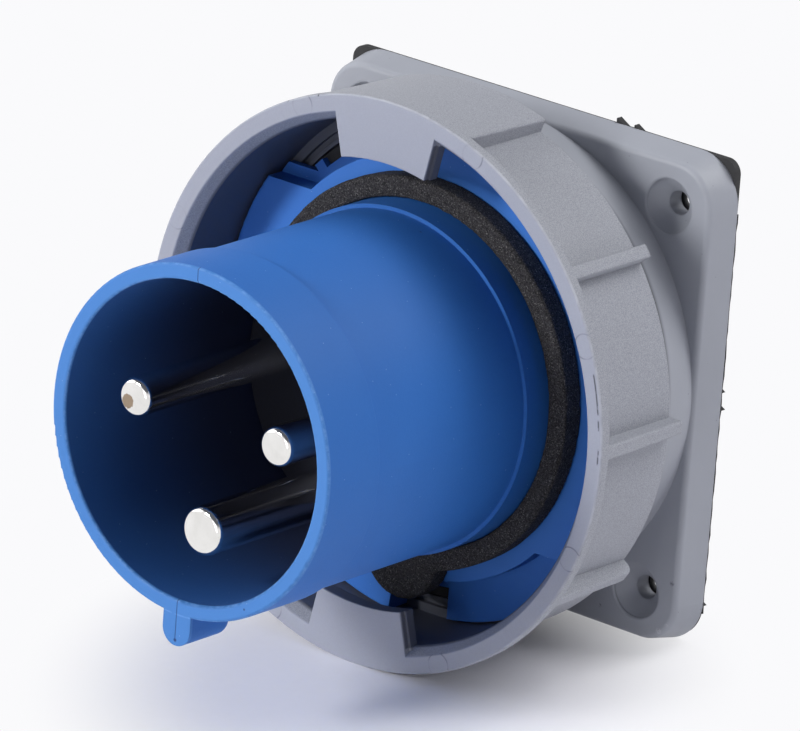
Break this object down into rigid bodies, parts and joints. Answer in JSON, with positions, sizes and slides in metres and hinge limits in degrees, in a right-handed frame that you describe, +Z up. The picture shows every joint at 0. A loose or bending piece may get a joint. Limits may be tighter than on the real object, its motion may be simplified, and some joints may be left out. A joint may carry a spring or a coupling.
{
  "type": "industrial panel plug",
  "caption": "Round power inlet on a square panel flange: blue sleeve with a key around its contact pins, grey locking ring that turns, open back with screw terminals.",
  "frame": {"origin": "middle of the four screw holes on the panel face, the back of the gasket; the sleeve's axis lies 0.95 mm above it", "axes": "-Y along the sleeve out of the panel, +Z up with the key at the bottom, +X to the right seen from the front"},
  "size_m": [0.1172, 0.1034, 0.1171],
  "materials": {
    "grey_moulding": "satin",
    "ring_moulding": "fine speckled satin",
    "blue_moulding": "matte",
    "carrier_moulding": "matte",
    "foam": "open-cell foam",
    "seal_rubber": "matte",
    "pin_nickel": "bright nickel plate",
    "screw_steel": "zinc plated"
  },
  "bodies": {
    "plug": {"flange_gasket": "seal_rubber", "flange_housing": "grey_moulding", "neck_seal": "seal_rubber", "plug_shroud": "blue_moulding", "face_gasket": "foam", "contact_carrier": "carrier_moulding", "carrier_seal": "seal_rubber", "line_pin": "pin_nickel", "neutral_pin": "pin_nickel", "earth_pin": "pin_nickel", "line_pin_seal": "seal_rubber", "neutral_pin_seal": "seal_rubber", "earth_pin_seal": "seal_rubber", "pin_retainer": "carrier_moulding", "retainer_screws": "screw_steel", "carrier_screws": "screw_steel", "shroud_screws": "screw_steel", "line_terminal_screws": "screw_steel", "neutral_terminal_screws": "screw_steel", "earth_terminal_screws": "screw_steel"},
    "locking_ring": {"bayonet_ring": "ring_moulding"}
  },
  "joints": [
    {"name": "ring_turn", "type": "hinge", "parent": "plug", "child": "locking_ring", "pos_m": [0, -0.036, 0.00095], "axis": [0, 1, 0], "range_deg": [0, 45]}
  ]
}
